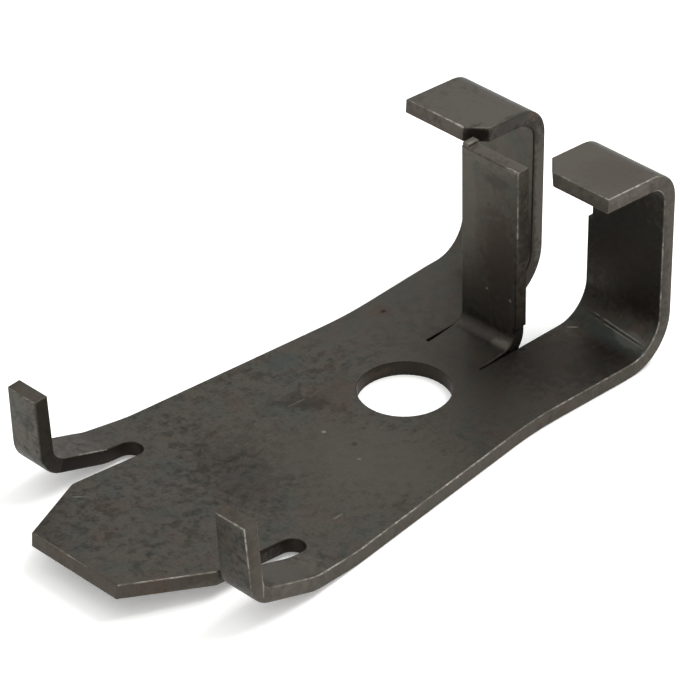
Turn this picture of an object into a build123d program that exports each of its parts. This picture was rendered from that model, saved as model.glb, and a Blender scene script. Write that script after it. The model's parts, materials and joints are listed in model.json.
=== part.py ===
"""Brake caliper bracket: one stamped and folded sheet of 3 mm steel.

Frame: origin on the axis of the bolt hole in the plane of the underside, +X towards the hooks,
+Y to the left when looking towards the hooks, +Z up out of the bolting face.
"""
import os
from math import cos, radians, sin, tan

from build123d import *

# Sheet, bolt hole and length
SHEET = 3.0                # sheet thickness
BOLT_HOLE_D = 17.5         # clearance hole for an M16 bolt
EDGE_BREAK = 0.2           # every cut edge is broken by this much; the bolt hole stays sharp
LENGTH = 124.1             # end of the tongue to the outer face of the hooks at their foot
HOLE_OFF_CENTRE = 0.6      # the bolt hole is this much nearer the -Y side of the plate

# Plate outline
HOOK_SPAN = 50.0           # over the outer sides of the two hooks
WAIST_WIDTH = 48.1         # width where the straight runs of the long edges cross at the waist
WAIST_X = 9.4              # place of that crossing
FLARE_TO_FOOT = 2.0        # from where the plate is as wide as the hooks to their foot bends
WAIST_BLEND_R = 80.0       # blends the long edges at the waist and where they meet the hooks
ARM_SPAN = 60.8            # over the outer sides of the two arms
ARM_CORNER_R = 12.0        # blends the long edges where they turn to run along the arms

# Opening between the two hooks, measured from the plate's middle line
SLIT_START_X = 13.8        # where the opening begins, as two slits beside the stop tab
GAP_START_Y = 7.4          # +Y side of the opening at its beginning
GAP_END_Y = 6.95           # and beyond the hooks
NEAR_GAP_START_Y = 6.2     # -Y side of the opening at its beginning
NEAR_GAP_END_Y = 6.8       # and beyond the hooks
NECK_SIDE_Y = 7.7          # inner side of the -Y hook above its step
NECK_STEP_Z = 23.4         # level of that step

# Hooks at the far end
HOOK_HEIGHT = 41.7         # underside of the plate to the top of the flanges at their free ends
WALL_FOOT_X = 44.5         # outer face of the walls where they leave the foot bend
WALL_LEAN = 1.0            # outward lean of the walls, degrees
FLANGE_RISE = 4.0          # upward slope of the flanges towards their free ends, degrees
FOOT_BEND_R = 7.1          # inner radius
FLANGE_BEND_R = 3.5        # inner radius
FLANGE_LENGTH = 18.5       # outer face of the wall to the free end, along the flange
FLANGE_CORNER_Y = 10.9     # the inner corner of the +Y flange's free end is cut off up to here
NEAR_FLANGE_CORNER_Y = 12.1    # and that of the -Y flange up to here

# Stop tab pressed up out of the plate between the hooks, measured from the plate's middle line
STOP_SIDE_Y = 7.0          # +Y side of the tab
STOP_ROOT_SIDE_Y = 6.05    # -Y side at the tab's root
STOP_LOW_STEP_Z = 7.4      # level of the lower step of the -Y side
STOP_MIDDLE_SIDE_Y = 6.6   # -Y side between the steps
STOP_HIGH_STEP_Z = 21.8    # level of the upper step
STOP_TOP_SIDE_Y = 7.0      # -Y side above it
STOP_HEIGHT = 41.2
STOP_FACE_X = 22.7         # face towards the bolt hole
STOP_BEND_R = 2.5          # inner radius
STOP_ROOT_RISE = 5.0       # the root of the tab is pulled up by this angle, degrees
STOP_ROOT_R = 25.0         # blends the root of the tab into the level plate
NIB_LENGTH = 1.4           # nib left by the shear at one end of the tab's top edge
NIB_HEIGHT = 0.7

# Kick of the near end, with places measured along X from the end of the tongue
TIP_TO_KICK = 40.9         # where the plate starts to rise
TIP_TO_SLOT_END = 31.9     # centres of the round ends of the slots
TIP_TO_ARM_CORNER = 27.0   # where the long edges turn to run along the arms
TIP_TO_SHOULDER = 16.1     # where the sides of the tongue start to taper
TIP_TO_TAB = 13.3          # outer face of the end tabs at their foot
KICK_ANGLE = 6.5
KICK_R = 38.0
TONGUE_END_WIDTH = 21.4
SHOULDER_R = 2.0           # blends the sides of the tongue where they start to taper

# Slots between the tongue and the arms
SLOT_WIDTH = 4.5           # also the diameter of their round ends
SLOT_SPACING = 41.2        # between the centres of the round ends

# Arms and their end tabs
SLOT_TO_ARM_BEND = 2.3     # from the round ends to where the arms bend up further
ARM_RISE = 11.9            # added to the kick angle
ARM_BEND_R = 10.5
TAB_HEIGHT = 22.1          # underside of the plate to the top of the end tabs
TAB_LEAN = 3.1             # lean of the end tabs away from the hooks, degrees
TAB_TOE = 1.7              # lean of the end tabs towards each other, degrees
TAB_TOE_START = 0.75       # the inward lean starts this far above the foot of the tabs
TAB_TOE_R = 30.0           # blends the start of the inward lean
TAB_BEND_R = 3.0           # inner radius
NEAR_TAB_OUT = 0.5         # the -Y end tab stands this much further out than the other one
NEAR_TAB_RISE = 0.5        # and its top is this much higher

# Working values
TALL = 100.0               # taller than the part, for cutting straight through it
TOUCH = 0.01               # points nearer than this are the same point
CUT_TURN = 60.0            # faces that meet at more than this angle meet at a cut edge
ACROSS_SLACK = 0.1         # a straight edge this close to the sheet's thickness runs across it

# Places along X that follow from the sizes
TIP_X = WALL_FOOT_X - LENGTH
KICK_X = TIP_X + TIP_TO_KICK
SLOT_END_X = TIP_X + TIP_TO_SLOT_END
ARM_CORNER_X = TIP_X + TIP_TO_ARM_CORNER
SHOULDER_X = TIP_X + TIP_TO_SHOULDER
TAB_FACE_X = TIP_X + TIP_TO_TAB
ARM_BEND_X = SLOT_END_X - SLOT_TO_ARM_BEND


def sheet_strip(start, legs, y_low, y_high):
    """Strip of sheet that starts level at the underside point start and heads along +X.

    Each leg is (straight length, bend angle, inner bend radius), and all bends turn up.
    """
    point, heading = Vector(*start), Vector(1, 0)
    path = Curve()
    for length, angle, radius in legs:
        if length:
            run = Line(point, point + heading * length)
            path += run
            point = run @ 1
        if angle:
            bend = JernArc(point, heading, radius + SHEET, angle)
            path += bend
            point, heading = bend @ 1, bend % 1
    profile = make_face(offset(Wire(path.edges()), SHEET, side=Side.LEFT).edges())
    strip = extrude(Plane.XZ * profile, -(y_high - y_low))
    return Pos(0, y_low, 0) * strip


def facing_back(solid):
    """The same strip heading along -X."""
    return mirror(solid, Plane.YZ)


def other_side(solid):
    """The same solid on the -Y side."""
    return mirror(solid, Plane.XZ)


def bend_run(radius, angle):
    """Level distance that the underside covers in a bend from level to the angle."""
    return (radius + SHEET) * sin(radians(angle))


def bend_rise(radius, angle, start=0.0):
    """Height that the underside gains in a bend from the start angle on by the angle."""
    return (radius + SHEET) * (cos(radians(start)) - cos(radians(start + angle)))


def long_edge_y(x):
    """Half width of the plate on the straight taper from the arms to the waist."""
    slope = (WAIST_WIDTH - ARM_SPAN) / 2 / (WAIST_X - ARM_CORNER_X)
    return WAIST_WIDTH / 2 + slope * (x - WAIST_X)


def foot_start_x():
    """Where the hook arms start to bend up into the walls."""
    return WALL_FOOT_X - bend_run(FOOT_BEND_R, 90 - WALL_LEAN)


def kick_end_x():
    """Where the kick's bend ends and the tongue runs on straight."""
    return KICK_X - bend_run(KICK_R, KICK_ANGLE)


def mirrored_outline(side):
    """Face between a line of points on the +Y side and its mirror image."""
    return make_face(Polyline(side + [(x, -y) for x, y in reversed(side)], close=True))


def corners_at(face, *places):
    """Corners of an outline at any of the given places along X."""
    return face.vertices().filter_by(lambda v: any(abs(v.X - x) < TOUCH for x in places))


def make_plate():
    """Level plate with the kick and the tongue, up to the start of the foot bends."""
    far_x = foot_start_x()
    tongue = (kick_end_x() - TIP_X) / cos(radians(KICK_ANGLE))
    strip = facing_back(sheet_strip(
        (-far_x, 0), [(far_x - KICK_X, KICK_ANGLE, KICK_R), (tongue, 0, 0)], -ARM_SPAN, ARM_SPAN))

    flare_x = far_x - FLARE_TO_FOOT
    outline = mirrored_outline([
        (SLOT_END_X, long_edge_y(SLOT_END_X)), (WAIST_X, WAIST_WIDTH / 2),
        (flare_x, HOOK_SPAN / 2), (far_x, HOOK_SPAN / 2)])
    outline = fillet(corners_at(outline, WAIST_X, flare_x), WAIST_BLEND_R)

    shoulder_y = (SLOT_SPACING - SLOT_WIDTH) / 2
    taper = (shoulder_y - TONGUE_END_WIDTH / 2) / TIP_TO_SHOULDER
    tongue_outline = mirrored_outline([
        (SLOT_END_X, shoulder_y), (SHOULDER_X, shoulder_y),
        (TIP_X - SHEET, TONGUE_END_WIDTH / 2 - taper * SHEET)])
    tongue_outline = fillet(corners_at(tongue_outline, SHOULDER_X), SHOULDER_R)
    return strip & extrude(outline + tongue_outline, TALL, both=True)


def make_arm(tab_out=0.0, tab_rise=0.0):
    """Arm on the +Y side with its end tab, from the round slot end out.

    The end tab stands tab_out further out, and its top is tab_rise higher.
    """
    tab_face_x = TAB_FACE_X - tab_out
    total = KICK_ANGLE + ARM_RISE
    to_arm_bend = (kick_end_x() - ARM_BEND_X) / cos(radians(KICK_ANGLE))
    arm_bend_end_x = ARM_BEND_X - bend_run(ARM_BEND_R, total) + bend_run(ARM_BEND_R, KICK_ANGLE)
    tab_turn = 90 - TAB_LEAN - total
    tab_foot_run = bend_run(TAB_BEND_R, 90 - TAB_LEAN) - bend_run(TAB_BEND_R, total)
    arm = (arm_bend_end_x - tab_face_x - tab_foot_run) / cos(radians(total))
    tab_foot_z = (bend_rise(KICK_R, KICK_ANGLE) + to_arm_bend * sin(radians(KICK_ANGLE))
                  + bend_rise(ARM_BEND_R, ARM_RISE, KICK_ANGLE) + arm * sin(radians(total))
                  + bend_rise(TAB_BEND_R, tab_turn, total))
    tab = (TAB_HEIGHT + tab_rise - tab_foot_z) / cos(radians(TAB_LEAN))
    strip = facing_back(sheet_strip(
        (0, 0), [(-KICK_X, KICK_ANGLE, KICK_R), (to_arm_bend, ARM_RISE, ARM_BEND_R),
                 (arm, tab_turn, TAB_BEND_R), (tab, 0, 0)], 0, ARM_SPAN))

    inner_y = (SLOT_SPACING + SLOT_WIDTH) / 2
    outer_y = ARM_SPAN / 2
    past_tab_x = tab_face_x - TAB_HEIGHT
    plan = make_face(Polyline(
        (SLOT_END_X, inner_y), (SLOT_END_X, long_edge_y(SLOT_END_X)), (ARM_CORNER_X, outer_y),
        (past_tab_x, outer_y), (past_tab_x, inner_y), close=True))
    plan = fillet(corners_at(plan, ARM_CORNER_X), ARM_CORNER_R)

    toe_z = tab_foot_z + TAB_TOE_START
    toe = tan(radians(TAB_TOE)) * (TALL - toe_z)
    end_view = make_face(Polyline(
        (inner_y, 0), (outer_y, 0), (outer_y, toe_z), (outer_y - toe, TALL),
        (inner_y - toe, TALL), (inner_y, toe_z), close=True))
    toe_start = end_view.vertices().filter_by(lambda v: abs(v.Y - toe_z) < TOUCH)
    end_view = fillet(toe_start, TAB_TOE_R)
    return strip & extrude(plan, TALL, both=True) & extrude(Plane.YZ * end_view, -TALL)


def make_hooks():
    """Both hooks: foot bend, wall, flange bend and flange, still joined between them."""
    wall_turn = 90 - WALL_LEAN
    flange_turn = 90 + WALL_LEAN - FLANGE_RISE
    wall_z = bend_rise(FOOT_BEND_R, wall_turn)
    bend_z = bend_rise(FLANGE_BEND_R, flange_turn, wall_turn)
    flange = FLANGE_LENGTH - FLANGE_BEND_R - SHEET
    flange_z = flange * sin(radians(FLANGE_RISE))
    wall = (HOOK_HEIGHT - wall_z - bend_z - flange_z) / cos(radians(WALL_LEAN))
    hooks = sheet_strip(
        (foot_start_x(), 0), [(0, wall_turn, FOOT_BEND_R), (wall, flange_turn, FLANGE_BEND_R),
                              (flange, 0, 0)], -HOOK_SPAN / 2, HOOK_SPAN / 2)

    wall_top_x = WALL_FOOT_X + wall * sin(radians(WALL_LEAN))
    free_x = wall_top_x - (FLANGE_BEND_R + SHEET) * cos(radians(WALL_LEAN)) - flange
    near_corner = NEAR_FLANGE_CORNER_Y - NECK_SIDE_Y
    neck = make_face(Polyline(
        (free_x, FLANGE_CORNER_Y), (free_x + FLANGE_CORNER_Y, 0), (TALL, 0), (TALL, -NECK_SIDE_Y),
        (free_x + near_corner, -NECK_SIDE_Y), (free_x, -NEAR_FLANGE_CORNER_Y), close=True))
    return hooks - Pos(0, 0, NECK_STEP_Z) * extrude(neck, TALL)


def make_stop_tab():
    """Stop tab with the strip of plate it was pressed up from."""
    turn = 90 - STOP_ROOT_RISE
    root_x = SLIT_START_X + bend_run(STOP_ROOT_R, STOP_ROOT_RISE)
    bend = bend_run(STOP_BEND_R, 90) - bend_run(STOP_BEND_R, STOP_ROOT_RISE)
    root = (STOP_FACE_X + SHEET - bend - root_x) / cos(radians(STOP_ROOT_RISE))
    foot_z = (bend_rise(STOP_ROOT_R, STOP_ROOT_RISE) + root * sin(radians(STOP_ROOT_RISE))
              + bend_rise(STOP_BEND_R, turn, STOP_ROOT_RISE))
    in_plate = SHEET
    tab = sheet_strip(
        (SLIT_START_X - in_plate, 0),
        [(in_plate, STOP_ROOT_RISE, STOP_ROOT_R), (root, turn, STOP_BEND_R),
         (STOP_HEIGHT - foot_z, 0, 0)], -STOP_ROOT_SIDE_Y, STOP_SIDE_Y)
    steps = (STOP_LOW_STEP_Z, STOP_MIDDLE_SIDE_Y), (STOP_HIGH_STEP_Z, STOP_TOP_SIDE_Y)
    for level, side_y in steps:
        wider = Box(SHEET, side_y, STOP_HEIGHT - level, align=(Align.MIN, Align.MAX, Align.MIN))
        tab += Pos(STOP_FACE_X, 0, level) * wider
    return tab


def make_nib():
    """Nib on the top edge of the stop tab, inside the tab's broken edges."""
    low_z = STOP_HEIGHT - EDGE_BREAK
    nib = Box(SHEET - 2 * EDGE_BREAK, NIB_LENGTH, NIB_HEIGHT + EDGE_BREAK,
              align=(Align.MIN, Align.MAX, Align.MIN))
    return Pos(STOP_FACE_X + EDGE_BREAK, STOP_SIDE_Y - EDGE_BREAK, low_z) * nib


def cut_openings(body):
    """Round ends of the slots and the opening the stop tab was pressed out of."""
    for side in (1, -1):
        body -= Pos(SLOT_END_X, side * SLOT_SPACING / 2, 0) * Cylinder(SLOT_WIDTH / 2, TALL)
    end_x = WALL_FOOT_X + SHEET
    opening = make_face(Polyline(
        (SLIT_START_X, GAP_START_Y), (end_x, GAP_END_Y), (end_x, -NEAR_GAP_END_Y),
        (SLIT_START_X, -NEAR_GAP_START_Y), close=True))
    return body - extrude(opening, TALL, both=True)


def cut_edges(body):
    """Sharp edges along both faces of the sheet, without those across its thickness.

    The blind ends of the two slits are narrower than the break, so they are left out too.
    """
    faces_at = {}
    for face in body.faces():
        for edge in face.edges():
            faces_at.setdefault(edge, []).append(face)
    found = []
    for edge, faces in faces_at.items():
        middle = edge @ 0.5
        turn = faces[0].normal_at(middle).get_angle(faces[-1].normal_at(middle))
        across = edge.geom_type == GeomType.LINE and abs(edge.length - SHEET) < ACROSS_SLACK
        slit_end = abs(middle.X - SLIT_START_X) < TOUCH
        if turn > CUT_TURN and not across and not slit_end:
            found.append(edge)
    return found


def make_bracket():
    """The whole sheet, made about its own middle and moved to the bolt hole at the end."""
    arms = make_arm() + other_side(make_arm(NEAR_TAB_OUT, NEAR_TAB_RISE))
    body = cut_openings(make_plate() + arms + make_hooks()) + make_stop_tab()
    body = chamfer(cut_edges(body), EDGE_BREAK) + make_nib()
    return Pos(0, HOLE_OFF_CENTRE, 0) * body - Cylinder(BOLT_HOLE_D / 2, TALL)


bracket = make_bracket()
bracket.label = "bracket"

os.makedirs("parts", exist_ok=True)
export_step(bracket, "parts/bracket.step")
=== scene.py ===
"""Looks of a brake caliper bracket folded from one steel sheet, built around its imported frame.

All places are in metres in the part's own frame: +X towards the hooks, +Z up, and the origin on
the axis of the bolt hole in the plane of the underside.
"""

import json
from math import cos, radians, sin

import bmesh
import bpy
from bpy.props import FloatProperty, FloatVectorProperty, PointerProperty
from bpy.types import Operator, Panel, PropertyGroup
from mathutils import Matrix, Vector
from mathutils.bvhtree import BVHTree


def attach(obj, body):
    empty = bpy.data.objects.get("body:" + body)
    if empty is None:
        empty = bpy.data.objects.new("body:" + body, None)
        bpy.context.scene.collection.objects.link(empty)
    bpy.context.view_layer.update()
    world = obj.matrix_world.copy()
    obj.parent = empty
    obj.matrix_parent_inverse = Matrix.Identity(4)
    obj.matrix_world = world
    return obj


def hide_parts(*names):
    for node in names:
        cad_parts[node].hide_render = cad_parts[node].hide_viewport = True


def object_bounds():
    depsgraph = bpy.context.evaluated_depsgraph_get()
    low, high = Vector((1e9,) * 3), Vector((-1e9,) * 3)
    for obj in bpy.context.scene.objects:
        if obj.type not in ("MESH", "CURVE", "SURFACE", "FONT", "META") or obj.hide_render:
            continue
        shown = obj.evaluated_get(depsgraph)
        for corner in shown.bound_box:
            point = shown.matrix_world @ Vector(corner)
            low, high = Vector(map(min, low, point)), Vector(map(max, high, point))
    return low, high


bl_info = {
    "name": "Brake Caliper Bracket",
    "version": (1, 0, 0),
    "blender": (4, 5, 0),
    "location": "3D View > Sidebar > Bracket",
    "description": "Dresses the folded sheet of a brake caliper bracket and sets up its studio",
    "category": "Add Mesh",
}

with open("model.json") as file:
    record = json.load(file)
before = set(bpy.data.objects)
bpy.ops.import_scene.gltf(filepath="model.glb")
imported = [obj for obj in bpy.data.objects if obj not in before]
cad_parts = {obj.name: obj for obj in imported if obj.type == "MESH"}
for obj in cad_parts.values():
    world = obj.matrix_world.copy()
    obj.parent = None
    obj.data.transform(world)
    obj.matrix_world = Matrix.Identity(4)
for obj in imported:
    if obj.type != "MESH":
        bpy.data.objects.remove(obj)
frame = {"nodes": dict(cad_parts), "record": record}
CAD_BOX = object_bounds()

MM = 0.001
BOLT_HOLE = next(m for m in frame["record"]["mounts"] if m["name"] == "bolt_hole")
SHEET = BOLT_HOLE["dims"]["length_mm"] * MM

# Kinds of face: the sheet's two sides, its cut sides, and the broken edges between them
ROLLED, SHEARED, RIM = range(3)
JOIN = 0.001 * MM            # loose corners nearer than this are one corner
RAY_GAP = 0.01 * MM          # how far from its own face a ray starts
GAUGE_SLACK = 0.15 * MM      # a face with the sheet's thickness behind it, to within this, is rolled
RIM_REACH = 0.45 * MM        # a cut face this close to a rolled one belongs to the broken edge
SMOOTH_TURN = radians(35)    # faces of one kind that meet at less than this are shaded as one

# Shelter of a cut side: in the open, out of reach of wear, or deep enough to be darkened with painted
# shade
OPEN, UNWORN, PAINTED_SHADE = range(3)
SHELTER = 20 * MM            # distance within which the sheet shelters a cut side
ALONG = 0.00001              # a face turned less than this from the sheet, as a sine, lies along it
ASIDE = (radians(-45), radians(45))    # turns from its front to both sides of it
DOWN = Vector((0, 0, -1))

# Levels of its noise between which each effect grows from none to full
WARM_BAND, COOL_BAND, ZONE_BAND = (0.46, 0.68), (0.44, 0.66), (0.38, 0.62)
MOTTLE_BAND, SPECK_BAND = (0.58, 0.36), (0.54, 0.34)
RUN_BAND, FLECK_BAND = (0.40, 0.66), (0.40, 0.60)
GRAIN_BAND, RAGGED_BAND = (0.3, 0.7), (0.25, 0.75)

# Mill scale
PATCH_SHARE = 0.6            # most that a warm or cool patch colours the steel
ZONE_SIZE = 2.5              # zones of strong and faint mottling are this many patches across
MOTTLE_DEPTH = (0.14, 0.40)  # how much the mottling darkens the steel in faint and strong zones
SPECK_DEPTH = 0.2            # how much the specks darken it
DARK_TONE, CLEAN_TONE = 0.6, 1.1    # tones of the darkest steel and of the steel between the mottles
MOTTLE_FADE = (-12, 14)      # mm along X where the mottling gives way to a smoother finish
SMOOTH_DEPTH = 0.35          # share of the mottling that is left past that
SHEARED_DEPTH = 0.6          # share of the mottling on the cut sides
DULLER, GLOSSIER = 0.10, 0.03    # change of roughness of the dark and of the clean steel

# Cut sides, their worn edges and the fine relief of all faces
SHELTER_SHADE = 0.75          # share of painted shade, in the dirt colour, on a deeply sheltered cut side
GRAIN_WIDTH = 0.5 * MM
GRAIN_PULL = 0.88            # how far the grain is drawn out across the sheet, 1 being endless
GRAIN_TONE = (0.94, 1.06)    # tones of its dark and its light lines
WORN_RUN = 7 * MM            # length of the worn and the sound stretches of an edge
WORN_FLECK = 1.1 * MM        # size of the flecks in them
SOUND_RUN = 0.3              # share of the wear on a sound stretch
SOUND_FLECK = 0.35           # share of the wear between the flecks
WORN_GLOSS = 0.2             # how much less rough bare steel is
RELIEF = 0.02 * MM           # depth of the grain and of the scale
RELIEF_STRENGTH = 0.5
EDGE_SAMPLES = 4             # rays that find the turn of a rolled edge

# Border of a mark
RAGGED_SIZE = 1.4 * MM
RAGGEDNESS = 0.45            # share of its reach by which the border wanders
MARK_FADE = (1.3, 0.6)       # shares of its reach between which a mark fades in

# Studio
HORIZON_FADE = (0.2, 0.5)    # heights on the unit sphere between which the light grows
FLOOR_GAP = 0.05 * MM        # between the plate and the floor
FLOOR_ROUGHNESS = 0.9
SENSOR_WIDTH = 36            # mm

# Marks on the steel, some of them painted shade or painted light: paint, strength, place and reach in
# mm, turn about +Z in degrees
MARKS = (
    # Plate, tongue and bolt hole
    ("steel", 0.75, (-21, -11, 3), (13, 15, 2), 0),           # smooth part of the plate
    ("rubbed_and_lit", 0.3, (-18, -14, 3), (12, 12, 2), 0),
    ("dirt_and_shade", 0.38, (27, -14, 3), (11, 10, 2), 0),             # painted shade on the plate towards the -Y hook
    ("dirt_and_shade", 0.3, (-39.5, 2, 3), (7, 14, 2), -19),            # dark crescent on the plate
    ("warm", 0.6, (-10, 8, 3), (6, 4, 1), 0),                 # reddish patch beside the hole
    ("dirt_and_shade", 0.5, (-15.8, 9.8, 3), (5, 2.4, 1), -46),         # smudge next to it
    ("bare", 0.12, (-16.8, 10.9, 3), (1.8, 0.15, 0.5), -5),   # scratch in the smudge
    ("warm", 0.4, (0, 8.6, 1.3), (6.5, 2, 0.7), 0),           # reddish line in the bolt hole
    ("rubbed_and_lit", 0.6, (-4.8, 7.35, 1.8), (0.35, 0.35, 1.5), 0),    # painted highlight on the wall of the bolt hole
    ("cool", 0.7, (-9.1, 22.2, 3), (3, 2, 1), 0),             # blue-green patch
    ("warm", 0.9, (15.2, 20.5, 3), (2.0, 1.8, 1), 0),         # halo of a pit
    ("dirt_and_shade", 0.9, (15.2, 20.5, 3), (0.6, 0.5, 1), 0),         # and the pit
    ("dirt_and_shade", 0.5, (-18.5, -5.6, 3), (0.6, 0.5, 1), 0),        # small pits
    ("dirt_and_shade", 0.4, (-13.8, -3.4, 3), (0.5, 0.4, 1), 0),
    ("dirt_and_shade", 0.4, (-33.5, -5.4, 3), (0.7, 0.4, 1), 0),
    ("bare", 0.3, (-19.6, 0.9, 3), (0.35, 0.3, 1), 0),        # bare specks
    ("bare", 0.15, (-21.1, -9.5, 3), (0.3, 0.3, 1), 0),
    ("bare", 0.2, (-35.9, -18.9, 3), (1.2, 0.15, 1), 0),      # scratches
    ("bare", 0.25, (-65.6, 14.9, 5.8), (1.4, 0.15, 1), -40),
    ("bare", 0.4, (35.5, -8.5, 3.1), (1.1, 0.12, 1), -54),
    # Foot bend and inside of the -Y hook
    ("cool", 0.8, (37.4, -17.5, 3.8), (2.2, 7.5, 1.6), -4),   # bluish scuff before the bend
    ("bare", 0.12, (38.2, -20.5, 4.2), (1.8, 4.2, 1.4), -4),
    ("dirt_and_shade", 0.6, (38.8, -16.4, 4.5), (0.3, 6.8, 0.9), -4),   # press mark in the bend, its dark line partly painted shade of the crease
    ("bare", 0.35, (39.1, -16.4, 4.7), (0.12, 6.6, 0.9), -4),
    ("bare", 0.3, (38.5, -17.4, 4.3), (0.12, 6.2, 0.9), -4),
    ("dirt_and_shade", 0.5, (41.9, -16, 20), (2, 13, 17), 0),           # painted shade inside the hook, under its flange
    # Stop tab
    ("dirt_and_shade", 0.45, (21.7, 1.5, 4.8), (2.2, 7.5, 2.4), 0),     # painted shade on the bend at its foot
    ("rubbed_and_lit", 0.8, (21.3, -3.6, 3.9), (1.2, 1.8, 1.0), 0),   # scuff on the foot
    ("rubbed_and_lit", 0.5, (22.7, 5.8, 28), (2, 2.2, 14), 0),        # its face
    ("warm", 0.8, (22.7, -1.5, 23), (2, 5, 10), 0),
    ("dirt_and_shade", 0.25, (22.7, -2, 20), (2, 4, 12), 0),
    ("dirt_and_shade", 0.35, (22.7, -1, 37.2), (2, 3, 1.5), 0),
    ("bare", 0.5, (22.7, 1.1, 13.4), (0.5, 0.3, 0.3), 0),
    ("bare", 0.4, (22.7, -4.7, 13.2), (0.5, 0.3, 0.3), 0),
    ("dirt_and_shade", 0.55, (24.4, -7, 22), (1.7, 1, 19), 0),          # its -Y side
    ("bare", 0.5, (22.8, -5.0, 41.1), (0.5, 1.8, 0.4), 0),    # its top edge and nib
    ("bare", 0.4, (23.6, 6.2, 41.8), (2, 0.8, 0.5), 0),
    # Flanges and -Y side of the +Y hook
    ("rubbed_and_lit", 0.9, (34, 0, 42), (14, 34, 3.5), 0),           # tops of both flanges
    ("warm", 0.4, (35, -18, 42), (6, 6, 2), 0),
    ("dirt_and_shade", 0.8, (28.6, 9.4, 40.2), (2.6, 2.6, 1.3), 0),     # cut corner of the +Y flange
    ("cool", 0.6, (36.5, 7.6, 40.4), (5.5, 0.8, 1.8), 0),     # side of the hook
    ("dirt_and_shade", 0.4, (36.5, 7.6, 40.4), (5.5, 0.8, 1.8), 0),
    ("warm", 0.9, (42.4, 7.6, 39.8), (1.8, 0.8, 1.6), 0),
    # painted light on the -Y side of the +Y hook, where the -Y hook shades it
    ("rubbed_and_lit", 0.6, (43.6, 7.6, 22), (1.3, 0.8, 17), 0),
    ("bare", 0.6, (26.6, 12, 41.8), (0.5, 2.2, 0.4), 0),      # worn corners of both flanges
    ("bare", 0.6, (26.6, -24.7, 40.5), (0.3, 0.3, 1.8), 0),
    ("bare", 0.5, (26.6, -23.2, 41.8), (0.4, 2.2, 0.3), 0),
    ("bare", 0.3, (28.8, -24.7, 41.8), (2.6, 0.3, 0.3), 0),
    # -Y arm with its end tab, and the tongue's cut side
    ("rubbed_and_lit", 0.9, (-57, -26, 5), (9, 5, 4), 0),             # arm
    ("dirt_and_shade", 0.15, (-67, -25, 14), (1.5, 6, 10), 0),          # face of the end tab
    ("bare", 0.35, (-63.9, -29.7, 10.5), (0.2, 0.4, 3.2), 0),    # its bend line
    ("bare", 0.5, (-63.9, -29.6, 23.5), (0.6, 0.5, 0.6), 0),  # its corners
    ("bare", 0.6, (-66.9, -29.6, 23.8), (0.5, 0.5, 0.8), 0),
    ("rubbed_and_lit", 0.8, (-66, -12, 2.5), (16, 12, 1.3), 0),       # side of the tongue
)


class BracketFinish(PropertyGroup):
    steel_colour: FloatVectorProperty(
        name="Steel", description="Colour of the rolled faces", subtype="COLOR",
        default=(0.070, 0.063, 0.053))
    warm_colour: FloatVectorProperty(
        name="Warm patches", description="Reddish brown patches of the scale", subtype="COLOR",
        default=(0.074, 0.055, 0.045))
    cool_colour: FloatVectorProperty(
        name="Cool patches", description="Blue-green patches of the scale", subtype="COLOR",
        default=(0.054, 0.061, 0.054))
    sheared_colour: FloatVectorProperty(
        name="Sheared sides", description="Colour of the cut sides of the sheet", subtype="COLOR",
        default=(0.067, 0.059, 0.048))
    worn_colour: FloatVectorProperty(
        name="Worn rims", description="Bare steel along the edges and in scratches",
        subtype="COLOR", default=(0.45, 0.43, 0.38))
    # Also painted light: the highlight in the bolt hole and the lit -Y side of the +Y hook
    rubbed_and_lit_colour: FloatVectorProperty(
        name="Rubbed steel", description="Lighter, smoother places that are rubbed often",
        subtype="COLOR", default=(0.099, 0.088, 0.074))
    # Also the colour of painted shade: on sheltered cut sides, inside the -Y hook, at the stop tab's
    # foot and on the plate by the -Y hook
    dirt_and_shade_colour: FloatVectorProperty(
        name="Dirt", description="Dark dirt in holes, slots and smudges", subtype="COLOR",
        default=(0.020, 0.016, 0.013))
    edge_roll: FloatProperty(
        name="Edge roll", description="How far the sheet's edges look rolled over",
        unit="LENGTH", default=0.4 * MM, min=0)
    patch_size: FloatProperty(
        name="Patch size", description="Size of the colour patches", unit="LENGTH",
        default=6 * MM, min=1 * MM)
    mottle_size: FloatProperty(
        name="Mottle size", description="Size of the dark mottling", unit="LENGTH",
        default=1.9 * MM, min=0.2 * MM)
    speck_size: FloatProperty(
        name="Speck size", description="Size of the fine specks", unit="LENGTH",
        default=0.7 * MM, min=0.1 * MM)
    rim_wear: FloatProperty(
        name="Rim wear", description="How bare the edges are rubbed", subtype="FACTOR",
        default=0.6, min=0, max=1)
    rolled_roughness: FloatProperty(
        name="Rolled roughness", description="Roughness of the rolled faces", subtype="FACTOR",
        default=0.5, min=0, max=1)
    sheared_roughness: FloatProperty(
        name="Sheared roughness", description="Roughness of the cut sides", subtype="FACTOR",
        default=0.55, min=0, max=1)


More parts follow.
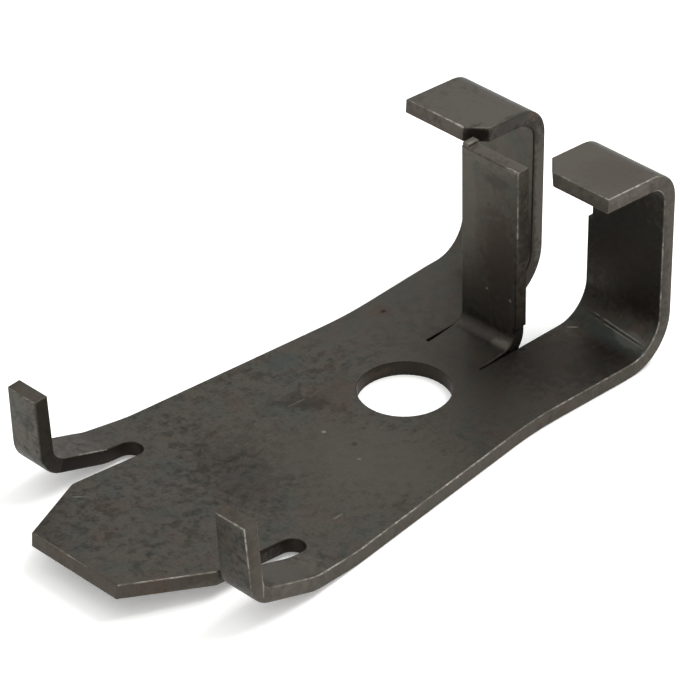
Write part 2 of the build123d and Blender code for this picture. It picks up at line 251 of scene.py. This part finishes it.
class BracketStudio(PropertyGroup):
    azimuth: FloatProperty(
        name="Azimuth", description="0 looks along +Y", subtype="ANGLE", default=radians(-44.11))
    elevation: FloatProperty(
        name="Elevation", description="Above the horizon", subtype="ANGLE", default=radians(34.20))
    roll: FloatProperty(
        name="Roll", description="Turn about the line of sight", subtype="ANGLE",
        default=radians(-1.15))
    distance: FloatProperty(
        name="Distance", description="From the camera to the aim", unit="LENGTH", default=0.7863)
    aim_right: FloatProperty(
        name="Aim right", description="Aim to the right of the bolt hole in the picture",
        unit="LENGTH", default=-11.72 * MM)
    aim_up: FloatProperty(
        name="Aim up", description="Aim above the bolt hole in the picture", unit="LENGTH",
        default=11.26 * MM)
    lens: FloatProperty(
        name="Lens", description="Focal length on a 36 mm wide sensor", unit="CAMERA",
        default=229.9)
    floor_colour: FloatVectorProperty(
        name="Floor", description="Plain pale floor", subtype="COLOR", default=(0.9, 0.9, 0.89))
    floor_glow: FloatProperty(
        name="Floor glow", description="Light that the floor gives off itself", default=0.26, min=0)
    floor_size: FloatProperty(
        name="Floor size", description="Side of the floor", unit="LENGTH", default=6.0)
    sky_strength: FloatProperty(
        name="Sky", description="Strength of the even studio light overhead", default=1.05, min=0)
    horizon_strength: FloatProperty(
        name="Horizon", description="Strength of the studio light near the floor", default=0.58,
        min=0)
    key_power: FloatProperty(
        name="Key light", description="Power of the large soft light", unit="POWER", default=4.0,
        min=0)
    key_size: FloatProperty(
        name="Key size", description="Side of the large soft light", unit="LENGTH", default=0.45)
    key_azimuth: FloatProperty(
        name="Key azimuth", description="From +X towards +Y", subtype="ANGLE",
        default=radians(-22))
    key_elevation: FloatProperty(
        name="Key elevation", description="Above the horizon", subtype="ANGLE",
        default=radians(62))
    key_distance: FloatProperty(
        name="Key distance", description="From the bolt hole", unit="LENGTH", default=0.8)


def plug(tree, socket, value):
    """Link a socket to another one, or set it to a number, a vector or a colour."""
    if isinstance(value, bpy.types.NodeSocket):
        tree.links.new(value, socket)
    elif socket.type == "RGBA":
        socket.default_value = (*value, 1)
    else:
        socket.default_value = value


def add_node(tree, kind, inputs, **settings):
    """New node with its own settings, and its inputs set or linked by name or place."""
    node = tree.nodes.new(kind)
    for key, value in settings.items():
        setattr(node, key, value)
    for key, value in inputs.items():
        plug(tree, node.inputs[key], value)
    return node


def new_group(name, inputs, outputs):
    """Empty shader group with inputs and outputs given as label and kind."""
    group = bpy.data.node_groups.new(name, "ShaderNodeTree")
    for way, sockets in (("INPUT", inputs), ("OUTPUT", outputs)):
        for label, kind in sockets.items():
            group.interface.new_socket(label, in_out=way, socket_type="NodeSocket" + kind)
    return group, group.nodes.new("NodeGroupInput").outputs, group.nodes.new("NodeGroupOutput").inputs


def add_group(tree, group, inputs):
    """Outputs of a group node with its inputs set or linked."""
    node = tree.nodes.new("ShaderNodeGroup")
    node.node_tree = group
    for label, value in inputs.items():
        plug(tree, node.inputs[label], value)
    return node.outputs


def calc(tree, operation, first, second):
    """Math node on two sockets or numbers."""
    return add_node(tree, "ShaderNodeMath", {0: first, 1: second}, operation=operation).outputs[0]


def noise(tree, vector, size, offset, detail=4.0, roughness=0.55):
    """Noise whose cells are about size across, shifted so that no two layers are alike."""
    shifted = add_node(tree, "ShaderNodeVectorMath", {0: vector, 1: offset}, operation="ADD")
    return add_node(tree, "ShaderNodeTexNoise",
                    {"Vector": shifted.outputs[0], "Scale": calc(tree, "DIVIDE", 1.0, size),
                     "Detail": detail, "Roughness": roughness}).outputs["Fac"]


def ramp(tree, value, low, high, to_low=0.0, to_high=1.0):
    """Value mapped smoothly from low..high to to_low..to_high."""
    return add_node(tree, "ShaderNodeMapRange",
                    {"Value": value, "From Min": low, "From Max": high, "To Min": to_low,
                     "To Max": to_high}, interpolation_type="SMOOTHSTEP").outputs["Result"]


def mix(tree, factor, first, second, blend="MIX"):
    """Mix of two colours."""
    return add_node(tree, "ShaderNodeMix", {0: factor, 6: first, 7: second},
                    data_type="RGBA", blend_type=blend).outputs[2]


def grey(tree, value):
    """Grey colour of a value."""
    return add_node(tree, "ShaderNodeCombineColor", {0: value, 1: value, 2: value}).outputs[0]


def mottle_group():
    """Patchy mill scale: faint warm and cool patches, dark mottling and fine specks."""
    group, source, result = new_group(
        "Mill Scale",
        {"Vector": "Vector", "Base": "Color", "Warm": "Color", "Cool": "Color",
         "Patch Size": "Float", "Mottle Size": "Float", "Speck Size": "Float",
         "Depth": "Float"},
        {"Color": "Color", "Tone": "Float"})
    place = source["Vector"]
    warm = noise(group, place, source["Patch Size"], (0.31, 0.12, 0.47), 5, 0.62)
    cool = noise(group, place, source["Patch Size"], (0.83, 0.64, 0.15), 5, 0.62)
    colour = mix(group, ramp(group, warm, *WARM_BAND, 0.0, PATCH_SHARE), source["Base"],
                 source["Warm"])
    colour = mix(group, ramp(group, cool, *COOL_BAND, 0.0, PATCH_SHARE), colour, source["Cool"])
    zones = noise(group, place, calc(group, "MULTIPLY", source["Patch Size"], ZONE_SIZE),
                  (0.05, 0.91, 0.33), 2)
    mottle = noise(group, place, source["Mottle Size"], (0.71, 0.2, 0.6), 5, 0.6)
    specks = noise(group, place, source["Speck Size"], (0.4, 0.5, 0.9), 3, 0.6)
    depth = calc(group, "MULTIPLY", ramp(group, zones, *ZONE_BAND, *MOTTLE_DEPTH), source["Depth"])
    dark = calc(group, "MULTIPLY", ramp(group, mottle, *MOTTLE_BAND), depth)
    fine = calc(group, "MULTIPLY", ramp(group, specks, *SPECK_BAND),
                calc(group, "MULTIPLY", source["Depth"], SPECK_DEPTH))
    tone = calc(group, "SUBTRACT", calc(group, "SUBTRACT", CLEAN_TONE, dark), fine)
    plug(group, result["Color"], mix(group, 1.0, colour, grey(group, tone), "MULTIPLY"))
    plug(group, result["Tone"], tone)
    return group


def wear_group():
    """Broken light line along the edges, where handling has rubbed them bare."""
    group, source, result = new_group(
        "Rim Wear",
        {"Vector": "Vector", "Color": "Color", "Worn": "Color", "Rim": "Float",
         "Amount": "Float"},
        {"Color": "Color", "Wear": "Float"})
    runs = noise(group, source["Vector"], WORN_RUN, (0.2, 0.7, 0.1), 2)
    flecks = noise(group, source["Vector"], WORN_FLECK, (0.6, 0.3, 0.8), 4)
    bare = calc(group, "MULTIPLY", ramp(group, runs, *RUN_BAND, SOUND_RUN, 1.0),
                ramp(group, flecks, *FLECK_BAND, SOUND_FLECK, 1.0))
    wear = calc(group, "MULTIPLY", calc(group, "MULTIPLY", bare, source["Rim"]), source["Amount"])
    plug(group, result["Color"], mix(group, wear, source["Color"], source["Worn"]))
    plug(group, result["Wear"], wear)
    return group


def mark_group():
    """Mask of one ragged oval mark at a place on the sheet, turned about +Z."""
    group, source, result = new_group(
        "Mark",
        {"Vector": "Vector", "Ragged": "Float", "Place": "Vector", "Reach": "Vector",
         "Turn": "Float", "Strength": "Float"},
        {"Mask": "Float"})
    off = add_node(group, "ShaderNodeVectorMath", {0: source["Vector"], 1: source["Place"]},
                   operation="SUBTRACT").outputs[0]
    turned = add_node(group, "ShaderNodeVectorRotate", {
        "Vector": off, "Angle": calc(group, "MULTIPLY", source["Turn"], -1.0)},
        rotation_type="Z_AXIS").outputs[0]
    share = add_node(group, "ShaderNodeVectorMath", {0: turned, 1: source["Reach"]},
                     operation="DIVIDE").outputs[0]
    distance = add_node(group, "ShaderNodeVectorMath", {0: share}, operation="LENGTH").outputs["Value"]
    edge = calc(group, "ADD", distance, source["Ragged"])
    plug(group, result["Mask"], calc(group, "MULTIPLY", ramp(group, edge, *MARK_FADE),
                                     source["Strength"]))
    return group


def marks_group(finish):
    """All the marks of the sheet, laid over a colour in the order of their list."""
    group, source, result = new_group(
        "Marks", {"Vector": "Vector", "Color": "Color"}, {"Color": "Color"})
    # the dirt and rubbed paints also lay painted shade and painted light
    paints = {"steel": finish.steel_colour, "warm": finish.warm_colour,
              "cool": finish.cool_colour, "dirt_and_shade": finish.dirt_and_shade_colour,
              "rubbed_and_lit": finish.rubbed_and_lit_colour, "bare": finish.worn_colour}
    mark = mark_group()
    place, colour = source["Vector"], source["Color"]
    ragged = ramp(group, noise(group, place, RAGGED_SIZE, (0.1, 0.4, 0.7), 4, 0.65),
                  *RAGGED_BAND, -RAGGEDNESS, RAGGEDNESS)
    for paint, strength, spot, reach, turn in MARKS:
        mask = add_group(group, mark, {
            "Vector": place, "Ragged": ragged, "Place": Vector(spot) * MM,
            "Reach": Vector(reach) * MM, "Turn": radians(turn), "Strength": strength})["Mask"]
        colour = mix(group, mask, colour, paints[paint])
    plug(group, result["Color"], colour)
    return group


def relief_group():
    """Normal of a fine relief whose height goes from 0 to 1, rolled over the sheet's edges."""
    group, source, result = new_group(
        "Relief", {"Height": "Float", "Depth": "Float", "Edge Roll": "Float"},
        {"Normal": "Vector"})
    rolled = add_node(group, "ShaderNodeBevel", {"Radius": source["Edge Roll"]},
                      samples=EDGE_SAMPLES).outputs["Normal"]
    relief = add_node(group, "ShaderNodeBump", {
        "Height": source["Height"], "Distance": source["Depth"],
        "Strength": RELIEF_STRENGTH, "Normal": rolled}).outputs["Normal"]
    plug(group, result["Normal"], relief)
    return group


def start_material(name):
    """Material with a metallic Principled shader, and the piece's own coordinates."""
    material = bpy.data.materials.new(name)
    material.use_nodes = True
    tree = material.node_tree
    surface = tree.nodes["Principled BSDF"]
    surface.inputs["Metallic"].default_value = 1.0
    place = tree.nodes.new("ShaderNodeTexCoord").outputs["Object"]
    return material, tree, surface.inputs, place


def rolled_material(finish, mottle, marks, relief):
    """Dull dark mill finish of the sheet's two faces."""
    material, tree, surface, place = start_material("rolled_steel")
    along = add_node(tree, "ShaderNodeSeparateXYZ", {0: place}).outputs["X"]
    scale = add_group(tree, mottle, {
        "Vector": place, "Base": finish.steel_colour, "Warm": finish.warm_colour,
        "Cool": finish.cool_colour, "Patch Size": finish.patch_size,
        "Mottle Size": finish.mottle_size, "Speck Size": finish.speck_size,
        "Depth": ramp(tree, along, *(x * MM for x in MOTTLE_FADE), 1.0, SMOOTH_DEPTH)})
    plug(tree, surface["Base Color"], add_group(tree, marks, {
        "Vector": place, "Color": scale["Color"]})["Color"])
    plug(tree, surface["Roughness"], ramp(tree, scale["Tone"], DARK_TONE, CLEAN_TONE,
                                          finish.rolled_roughness + DULLER,
                                          finish.rolled_roughness - GLOSSIER))
    plug(tree, surface["Normal"], add_group(tree, relief, {
        "Height": scale["Tone"], "Depth": RELIEF, "Edge Roll": finish.edge_roll})["Normal"])
    return material


def sheared_material(finish, mottle, marks, wear, relief):
    """Browner, rougher cut sides with a grain that runs across the sheet."""
    material, tree, surface, place = start_material("sheared_steel")
    across = add_node(tree, "ShaderNodeAttribute", {}, attribute_name="across").outputs["Vector"]
    level = add_node(tree, "ShaderNodeVectorMath", {0: place, 1: across},
                     operation="DOT_PRODUCT").outputs["Value"]
    pull = add_node(tree, "ShaderNodeVectorMath",
                    {0: across, "Scale": calc(tree, "MULTIPLY", level, GRAIN_PULL)},
                    operation="SCALE")
    drawn = add_node(tree, "ShaderNodeVectorMath", {0: place, 1: pull.outputs[0]},
                     operation="SUBTRACT").outputs[0]
    grain = noise(tree, drawn, GRAIN_WIDTH, (0.3, 0.8, 0.2), 4, 0.6)
    scale = add_group(tree, mottle, {
        "Vector": place, "Base": finish.sheared_colour, "Warm": finish.warm_colour,
        "Cool": finish.steel_colour, "Patch Size": finish.patch_size,
        "Mottle Size": finish.mottle_size, "Speck Size": finish.speck_size,
        "Depth": SHEARED_DEPTH})
    tone = grey(tree, ramp(tree, grain, *GRAIN_BAND, *GRAIN_TONE))
    colour = mix(tree, 1.0, scale["Color"], tone, "MULTIPLY")
    # Painted shade: cut sides deep in a recess are darkened towards the dirt colour
    sheltered = add_node(tree, "ShaderNodeAttribute", {}, attribute_name="sheltered").outputs["Fac"]
    colour = mix(tree, calc(tree, "MULTIPLY", sheltered, SHELTER_SHADE), colour, finish.dirt_and_shade_colour)
    marked = add_group(tree, marks, {"Vector": place, "Color": colour})["Color"]
    rim = add_node(tree, "ShaderNodeAttribute", {}, attribute_name="rim").outputs["Fac"]
    worn = add_group(tree, wear, {
        "Vector": place, "Color": marked, "Worn": finish.worn_colour, "Rim": rim,
        "Amount": finish.rim_wear})
    plug(tree, surface["Base Color"], worn["Color"])
    plug(tree, surface["Roughness"], calc(tree, "SUBTRACT", finish.sheared_roughness,
                                          calc(tree, "MULTIPLY", worn["Wear"], WORN_GLOSS)))
    plug(tree, surface["Normal"], add_group(tree, relief, {
        "Height": grain, "Depth": RELIEF, "Edge Roll": finish.edge_roll})["Normal"])
    return material


def kind_of(face, whole):
    """Rolled where the other side of the sheet is one sheet thickness behind, or else sheared."""
    start = face.calc_center_median() - face.normal * RAY_GAP
    behind = whole.ray_cast(start, -face.normal)[3]
    gauge = behind is not None and abs(behind + RAY_GAP - SHEET) < GAUGE_SLACK
    return ROLLED if gauge else SHEARED


def shelter_of(face, normal, whole):
    """How sheltered a cut side or broken edge is, from the normal of the rolled face beside it.

    It is painted in shade where the sheet is close in front of it or close on both sides of its
    front, and unworn where the sheet is only close below its front.
    """
    out = face.normal - normal * face.normal.dot(normal)
    if out.length <= ALONG:
        return OPEN
    out.normalize()
    start = face.calc_center_median() + face.normal * RAY_GAP
    ways = [out, out + DOWN]
    ways += [Matrix.Rotation(turn, 3, normal) @ out for turn in ASIDE]
    front, below, *aside = [whole.ray_cast(start, way, SHELTER)[0] is not None for way in ways]
    if front or all(aside):
        return PAINTED_SHADE
    return UNWORN if below else OPEN


def sort_faces(bm):
    """Kind of each face, the normal of the rolled face nearest to it, and how sheltered it is."""
    whole = BVHTree.FromBMesh(bm)
    kinds = [kind_of(face, whole) for face in bm.faces]
    rolled = [face for face in bm.faces if kinds[face.index] == ROLLED]
    skin = BVHTree.FromPolygons([v.co for v in bm.verts], [[v.index for v in f.verts] for f in rolled])
    across, shelter = [], []
    for face in bm.faces:
        _, normal, _, distance = skin.find_nearest(face.calc_center_median())
        across.append(normal)
        if kinds[face.index] == SHEARED and distance < RIM_REACH:
            kinds[face.index] = RIM
        cut = kinds[face.index] != ROLLED
        shelter.append(shelter_of(face, normal, whole) if cut else OPEN)
    return kinds, across, shelter


def corner_normals(bm, kinds):
    """Normal of each face corner, so that flat faces stay flat and the rims turn between them."""
    normals = []
    for face in bm.faces:
        kind = kinds[face.index]
        for loop in face.loops:
            around = loop.vert.link_faces
            if kind == RIM:
                beside = [f for f in around if kinds[f.index] != RIM]
                like = beside or list(around)
            else:
                like = [f for f in around if kinds[f.index] == kind
                        and f.normal.angle(face.normal) < SMOOTH_TURN]
            total = Vector()
            for other in like:
                corner = next(x for x in other.loops if x.vert == loop.vert)
                total += other.normal * corner.calc_angle()
            normals.append(total.normalized())
    return normals


def build_sheet(name):
    """The folded sheet with its loose triangles joined, its faces sorted and its rims shaded round."""
    bm = bmesh.new()
    bm.from_mesh(frame["nodes"]["bracket"].data)
    bmesh.ops.remove_doubles(bm, verts=bm.verts, dist=JOIN)
    bmesh.ops.recalc_face_normals(bm, faces=bm.faces)
    bm.verts.index_update()
    bm.faces.index_update()
    kinds, across, shelter = sort_faces(bm)
    for face in bm.faces:
        face.smooth = True
        face.material_index = 0 if kinds[face.index] == ROLLED else 1
    normals = corner_normals(bm, kinds)
    mesh = bpy.data.meshes.new(name)
    bm.to_mesh(mesh)
    bm.free()
    rim = mesh.attributes.new("rim", "FLOAT", "FACE")
    rim.data.foreach_set("value", [
        float(kind == RIM and state == OPEN) for kind, state in zip(kinds, shelter)])
    # cut sides deep in a recess, which the sheared material darkens with painted shade
    sheltered = mesh.attributes.new("sheltered", "FLOAT", "FACE")
    sheltered.data.foreach_set("value", [float(state == PAINTED_SHADE) for state in shelter])
    direction = mesh.attributes.new("across", "FLOAT_VECTOR", "FACE")
    direction.data.foreach_set("vector", [x for normal in across for x in normal])
    mesh.normals_split_custom_set(normals)
    sheet = bpy.data.objects.new(name, mesh)
    bpy.context.scene.collection.objects.link(sheet)
    return sheet


def camera_axes(studio):
    """Right, up and back directions of the camera."""
    azimuth, elevation = studio.azimuth, studio.elevation
    right = Vector((cos(azimuth), sin(azimuth), 0))
    back = Vector((sin(azimuth) * cos(elevation), -cos(azimuth) * cos(elevation), sin(elevation)))
    turn = Matrix.Rotation(studio.roll, 3, back)
    return turn @ right, turn @ back.cross(right), back


def add_camera(studio):
    """Camera at the picture's viewing angle."""
    right, up, back = camera_axes(studio)
    data = bpy.data.cameras.new("camera")
    data.sensor_width = SENSOR_WIDTH
    data.lens = studio.lens
    camera = bpy.data.objects.new("camera", data)
    aim = right * studio.aim_right + up * studio.aim_up
    place = Matrix((right, up, back)).transposed().to_4x4()
    place.translation = aim + back * studio.distance
    camera.matrix_world = place
    bpy.context.scene.collection.objects.link(camera)
    bpy.context.scene.camera = camera


def add_floor(studio):
    """Plain pale floor just under the plate."""
    bm = bmesh.new()
    bmesh.ops.create_grid(bm, x_segments=1, y_segments=1, size=studio.floor_size / 2)
    mesh = bpy.data.meshes.new("floor")
    bm.to_mesh(mesh)
    bm.free()
    floor = bpy.data.objects.new("floor", mesh)
    floor.location.z = CAD_BOX[0].z - FLOOR_GAP
    bpy.context.scene.collection.objects.link(floor)
    material = bpy.data.materials.new("floor")
    material.use_nodes = True
    surface = material.node_tree.nodes["Principled BSDF"]
    surface.inputs["Base Color"].default_value = (*studio.floor_colour, 1)
    surface.inputs["Roughness"].default_value = FLOOR_ROUGHNESS
    surface.inputs["Specular IOR Level"].default_value = 0.0
    surface.inputs["Emission Color"].default_value = (*studio.floor_colour, 1)
    surface.inputs["Emission Strength"].default_value = studio.floor_glow
    mesh.materials.append(material)


def add_key_light(studio):
    """Large soft light, aimed at the bolt hole."""
    data = bpy.data.lights.new("key", "AREA")
    data.energy = studio.key_power
    data.size = studio.key_size
    light = bpy.data.objects.new("key", data)
    azimuth, elevation = studio.key_azimuth, studio.key_elevation
    towards = Vector((cos(azimuth) * cos(elevation), sin(azimuth) * cos(elevation), sin(elevation)))
    light.location = towards * studio.key_distance
    light.rotation_euler = towards.to_track_quat("Z", "Y").to_euler()
    bpy.context.scene.collection.objects.link(light)


def add_sky(studio):
    """Even white light from all round, weaker near the floor."""
    world = bpy.data.worlds.new("studio")
    world.use_nodes = True
    tree = world.node_tree
    direction = tree.nodes.new("ShaderNodeTexCoord").outputs["Generated"]
    height = add_node(tree, "ShaderNodeSeparateXYZ", {0: direction}).outputs["Z"]
    background = tree.nodes["Background"]
    background.inputs["Color"].default_value = (1, 1, 1, 1)
    plug(tree, background.inputs["Strength"], ramp(
        tree, height, *HORIZON_FADE, studio.horizon_strength, studio.sky_strength))
    bpy.context.scene.world = world


class BRACKET_OT_folded_sheet(Operator):
    """Build the folded sheet with its rolled faces, sheared sides and worn rims"""
    bl_idname = "bracket.folded_sheet"
    bl_label = "Folded Sheet"

    def execute(self, context):
        finish = context.scene.bracket_finish
        sheet = build_sheet("folded_sheet")
        mottle, marks, relief = mottle_group(), marks_group(finish), relief_group()
        sheet.data.materials.append(rolled_material(finish, mottle, marks, relief))
        sheet.data.materials.append(sheared_material(finish, mottle, marks, wear_group(), relief))
        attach(sheet, "root")
        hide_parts("bracket")
        return {"FINISHED"}


class BRACKET_OT_studio(Operator):
    """Set up the pale floor, the soft light and the camera"""
    bl_idname = "bracket.studio"
    bl_label = "Studio"

    def execute(self, context):
        studio = context.scene.bracket_studio
        add_floor(studio)
        add_sky(studio)
        add_key_light(studio)
        add_camera(studio)
        context.scene.view_settings.view_transform = "Standard"
        return {"FINISHED"}


class BRACKET_PT_looks(Panel):
    """Sizes, colours and steps of the bracket's looks"""
    bl_idname = "BRACKET_PT_looks"
    bl_label = "Bracket"
    bl_space_type = "VIEW_3D"
    bl_region_type = "UI"
    bl_category = "Bracket"

    def draw(self, context):
        layout = self.layout
        for group in (context.scene.bracket_finish, context.scene.bracket_studio):
            box = layout.box()
            for name in group.__annotations__:
                box.prop(group, name)
        layout.operator("bracket.folded_sheet")
        layout.operator("bracket.studio")


CLASSES = (BracketFinish, BracketStudio, BRACKET_OT_folded_sheet, BRACKET_OT_studio, BRACKET_PT_looks)


def register():
    for cls in CLASSES:
        bpy.utils.register_class(cls)
    bpy.types.Scene.bracket_finish = PointerProperty(type=BracketFinish)
    bpy.types.Scene.bracket_studio = PointerProperty(type=BracketStudio)


def unregister():
    del bpy.types.Scene.bracket_studio
    del bpy.types.Scene.bracket_finish
    for cls in reversed(CLASSES):
        bpy.utils.unregister_class(cls)


def main():
    register()
    bpy.ops.bracket.folded_sheet()
    bpy.ops.bracket.studio()


if __name__ == "__main__":
    main()
